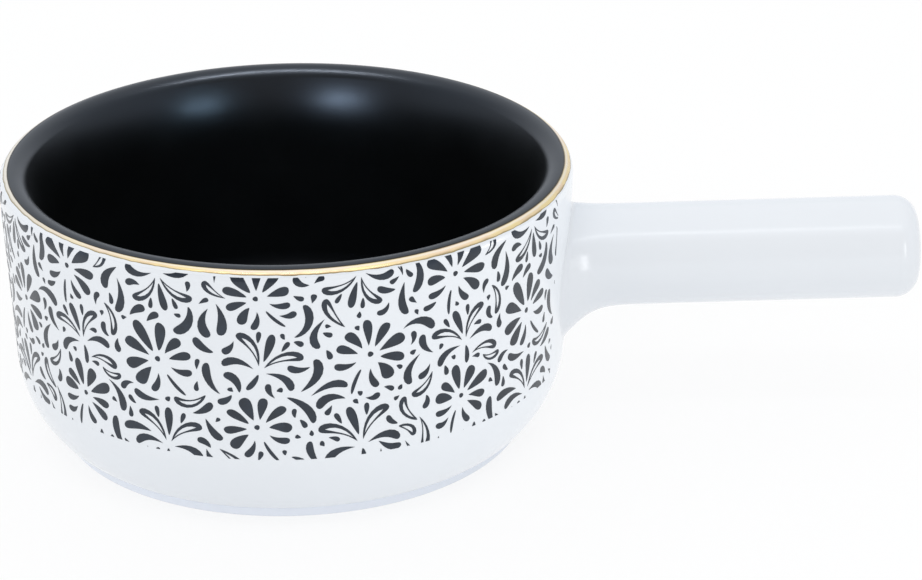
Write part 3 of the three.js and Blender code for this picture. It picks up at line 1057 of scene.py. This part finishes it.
class POT_OT_lining(bpy.types.Operator):
    """Coats the inside and the lip with black glaze"""

    bl_idname = "pot.lining"
    bl_label = "Black lining"

    def execute(self, context):
        sizes = context.scene.pot_sizes
        lines = BowlLines(sizes)
        back = lines.inside(sizes.coat, lines.lining_end)
        profile = [*reversed(back), *lines.inside(0, lines.lining_end)]
        shape = turned(profile, (0, 0, 1), BOWL_STEPS)
        raise_edge(shape, lines, QUARTER)
        finish = black_glaze(context.scene.pot_colours)
        add_piece("lining", shape, [finish], "black_lining")
        return {"FINISHED"}


class POT_OT_gold(bpy.types.Operator):
    """Paints the gold line under the black lip"""

    bl_idname = "pot.gold"
    bl_label = "Gold line"

    def execute(self, context):
        sizes = context.scene.pot_sizes
        lines = BowlLines(sizes)
        front = arc(lines.lip, sizes.lip_outer + FILM_RISE, lines.gold_end, lines.lining_end)
        back = arc(lines.lip, sizes.lip_outer - sizes.coat, lines.lining_end, lines.gold_end)
        shape = turned([*front, *back], (0, 0, 1), BOWL_STEPS, closed=True)
        raise_edge(shape, lines, lines.gold_end)
        finish = gold_lustre(context.scene.pot_colours, front[0][1], front[-1][1], sizes.bowl_radius)
        add_piece("gold_rim_line", shape, [finish], "gold_line")
        return {"FINISHED"}


class POT_OT_print(bpy.types.Operator):
    """Draws the printed band and lays it round the bowl"""

    bl_idname = "pot.print_band"
    bl_label = "Printed band"

    def execute(self, context):
        lines = BowlLines(context.scene.pot_sizes)
        shape = printed_band(lines, context.scene.pot_print)
        finish = transfer_ink(context.scene.pot_colours)
        add_piece("floral_print", shape, [finish], "printed_band")
        return {"FINISHED"}


class POT_OT_stage(bpy.types.Operator):
    """Sets the camera, the floor and the light of the studio"""

    bl_idname = "pot.stage"
    bl_label = "Stage"

    def execute(self, context):
        add_camera()
        studio_world()
        add_floor(context.scene.pot_colours)
        for box in SOFT_BOXES:
            add_soft_box(*box)
        context.scene.view_settings.view_transform = "Standard"
        return {"FINISHED"}


class POT_PT_panel(bpy.types.Panel):
    """Lists the pot's sizes, colours and pieces"""

    bl_idname = "POT_PT_panel"
    bl_label = "Fondue pot"
    bl_space_type = "VIEW_3D"
    bl_region_type = "UI"
    bl_category = "Fondue pot"

    def draw(self, context):
        scene = context.scene
        for group in (scene.pot_sizes, scene.pot_colours, scene.pot_print):
            box = self.layout.box()
            for name in group.__annotations__:
                box.prop(group, name)
        for operator in OPERATORS:
            self.layout.operator(operator.bl_idname)


GROUPS = {"pot_sizes": PotSizes, "pot_colours": PotColours, "pot_print": PotPrint}
OPERATORS = (
    POT_OT_bowl, POT_OT_foot, POT_OT_handle, POT_OT_luting, POT_OT_lining, POT_OT_gold, POT_OT_print,
    POT_OT_stage)
CLASSES = (*GROUPS.values(), *OPERATORS, POT_PT_panel)


def register():
    """Registers the classes and adds their settings to the scene."""
    for kind in CLASSES:
        bpy.utils.register_class(kind)
    for name, kind in GROUPS.items():
        setattr(bpy.types.Scene, name, PointerProperty(type=kind))


def unregister():
    """Takes the settings and the classes away again."""
    for name in GROUPS:
        delattr(bpy.types.Scene, name)
    for kind in reversed(CLASSES):
        bpy.utils.unregister_class(kind)


def main():
    """Builds the pot and its stage."""
    register()
    bpy.ops.pot.bowl()
    bpy.ops.pot.foot()
    bpy.ops.pot.handle()
    bpy.ops.pot.luting()
    bpy.ops.pot.lining()
    bpy.ops.pot.gold()
    bpy.ops.pot.print_band()
    bpy.ops.pot.stage()


if __name__ == "__main__":
    main()
